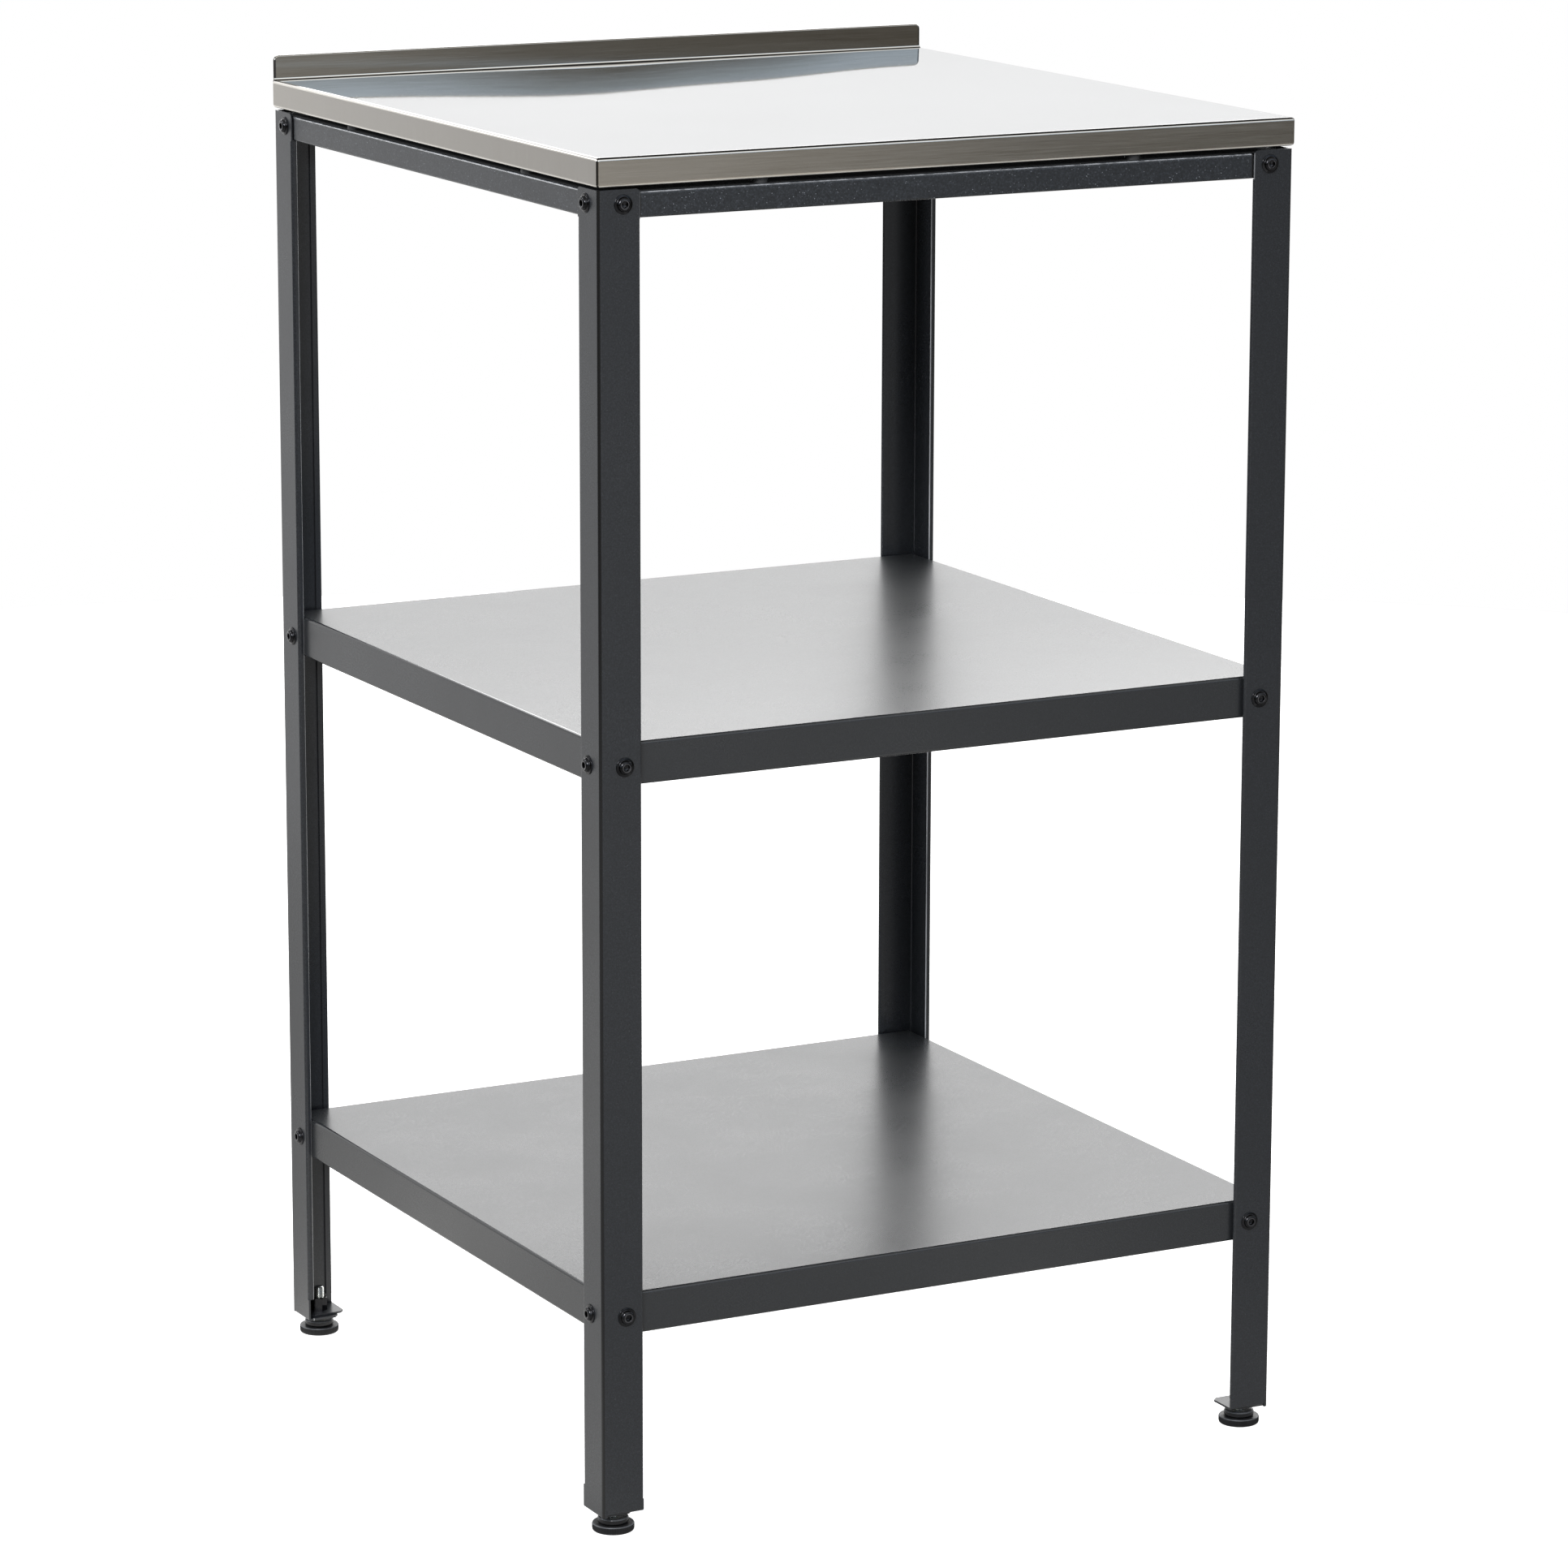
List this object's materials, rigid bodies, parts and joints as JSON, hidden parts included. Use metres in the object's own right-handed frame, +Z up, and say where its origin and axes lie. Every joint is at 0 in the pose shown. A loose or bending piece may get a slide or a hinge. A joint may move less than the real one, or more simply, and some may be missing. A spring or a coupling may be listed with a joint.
{
  "type": "outdoor pizza oven table",
  "caption": "Square outdoor oven table with a folded steel worktop and rear upstand, bolted angle legs, shelves below and screw-adjustable feet.",
  "frame": {"origin": "on the floor, in the middle of the footprint", "axes": "+X to the right seen from the front, +Y towards the rear edge with the upstand, +Z up"},
  "size_m": [0.5546, 0.5546, 0.9884],
  "materials": {
    "stainless": "brushed, straight grain",
    "stainless_plain": "mill finish",
    "leg_coat": "fine-texture powder coat",
    "rail_coat": "fine-texture powder coat",
    "shelf_coat": "semi-gloss powder coat",
    "black_screw": "glossy black",
    "black_nut": "black",
    "zinc": "zinc plated",
    "spacer_nylon": "matte",
    "pad": "satin, ribbed rim"
  },
  "bodies": {
    "table": {"worktop": "stainless", "worktop_stiffener": "stainless_plain", "leg_front_left": "leg_coat", "leg_front_right": "leg_coat", "leg_rear_left": "leg_coat", "leg_rear_right": "leg_coat", "rail_front": "rail_coat", "rail_rear": "rail_coat", "rail_left": "rail_coat", "rail_right": "rail_coat", "shelf_middle": "shelf_coat", "shelf_lower": "shelf_coat", "rail_screws": "black_screw", "rail_nuts": "zinc", "shelf_middle_screws": "black_screw", "shelf_middle_nuts": "zinc", "shelf_middle_spacers": "spacer_nylon", "shelf_lower_screws": "black_screw", "shelf_lower_nuts": "zinc", "shelf_lower_spacers": "spacer_nylon", "worktop_screws": "zinc", "worktop_spacers": "spacer_nylon", "worktop_nuts": "zinc", "foot_rivet_nuts": "black_nut"},
    "pad_front_left": {"foot_pad_front_left": "pad"},
    "stud_front_left": {"foot_stud_front_left": "zinc"},
    "pad_front_right": {"foot_pad_front_right": "pad"},
    "stud_front_right": {"foot_stud_front_right": "zinc"},
    "pad_rear_left": {"foot_pad_rear_left": "pad"},
    "stud_rear_left": {"foot_stud_rear_left": "zinc"},
    "pad_rear_right": {"foot_pad_rear_right": "pad"},
    "stud_rear_right": {"foot_stud_rear_right": "zinc"}
  },
  "joints": [
    {"name": "foot_travel_front_left", "type": "slide", "parent": "table", "child": "pad_front_left", "axis": [0, 0, 1], "range_m": [-0.0125, 0.0025]},
    {"name": "stud_turn_front_left", "type": "hinge", "parent": "pad_front_left", "child": "stud_front_left", "pos_m": [-0.2587, -0.2587, 0.014], "axis": [0, 0, 1], "range_deg": [-3610, 730]},
    {"name": "foot_travel_front_right", "type": "slide", "parent": "table", "child": "pad_front_right", "axis": [0, 0, 1], "range_m": [-0.0125, 0.0025]},
    {"name": "stud_turn_front_right", "type": "hinge", "parent": "pad_front_right", "child": "stud_front_right", "pos_m": [0.2587, -0.2587, 0.014], "axis": [0, 0, 1], "range_deg": [-3610, 730]},
    {"name": "foot_travel_rear_left", "type": "slide", "parent": "table", "child": "pad_rear_left", "axis": [0, 0, 1], "range_m": [-0.0125, 0.0025]},
    {"name": "stud_turn_rear_left", "type": "hinge", "parent": "pad_rear_left", "child": "stud_rear_left", "pos_m": [-0.2587, 0.2587, 0.014], "axis": [0, 0, 1], "range_deg": [-3610, 730]},
    {"name": "foot_travel_rear_right", "type": "slide", "parent": "table", "child": "pad_rear_right", "axis": [0, 0, 1], "range_m": [-0.0125, 0.0025]},
    {"name": "stud_turn_rear_right", "type": "hinge", "parent": "pad_rear_right", "child": "stud_rear_right", "pos_m": [0.2587, 0.2587, 0.014], "axis": [0, 0, 1], "range_deg": [-3610, 730]}
  ],
  "couplings": [
    {"joint": "stud_turn_front_left", "follows": "foot_travel_front_left", "rad_per_m": 5026.5},
    {"joint": "stud_turn_front_right", "follows": "foot_travel_front_right", "rad_per_m": 5026.5},
    {"joint": "stud_turn_rear_left", "follows": "foot_travel_rear_left", "rad_per_m": 5026.5},
    {"joint": "stud_turn_rear_right", "follows": "foot_travel_rear_right", "rad_per_m": 5026.5}
  ]
}
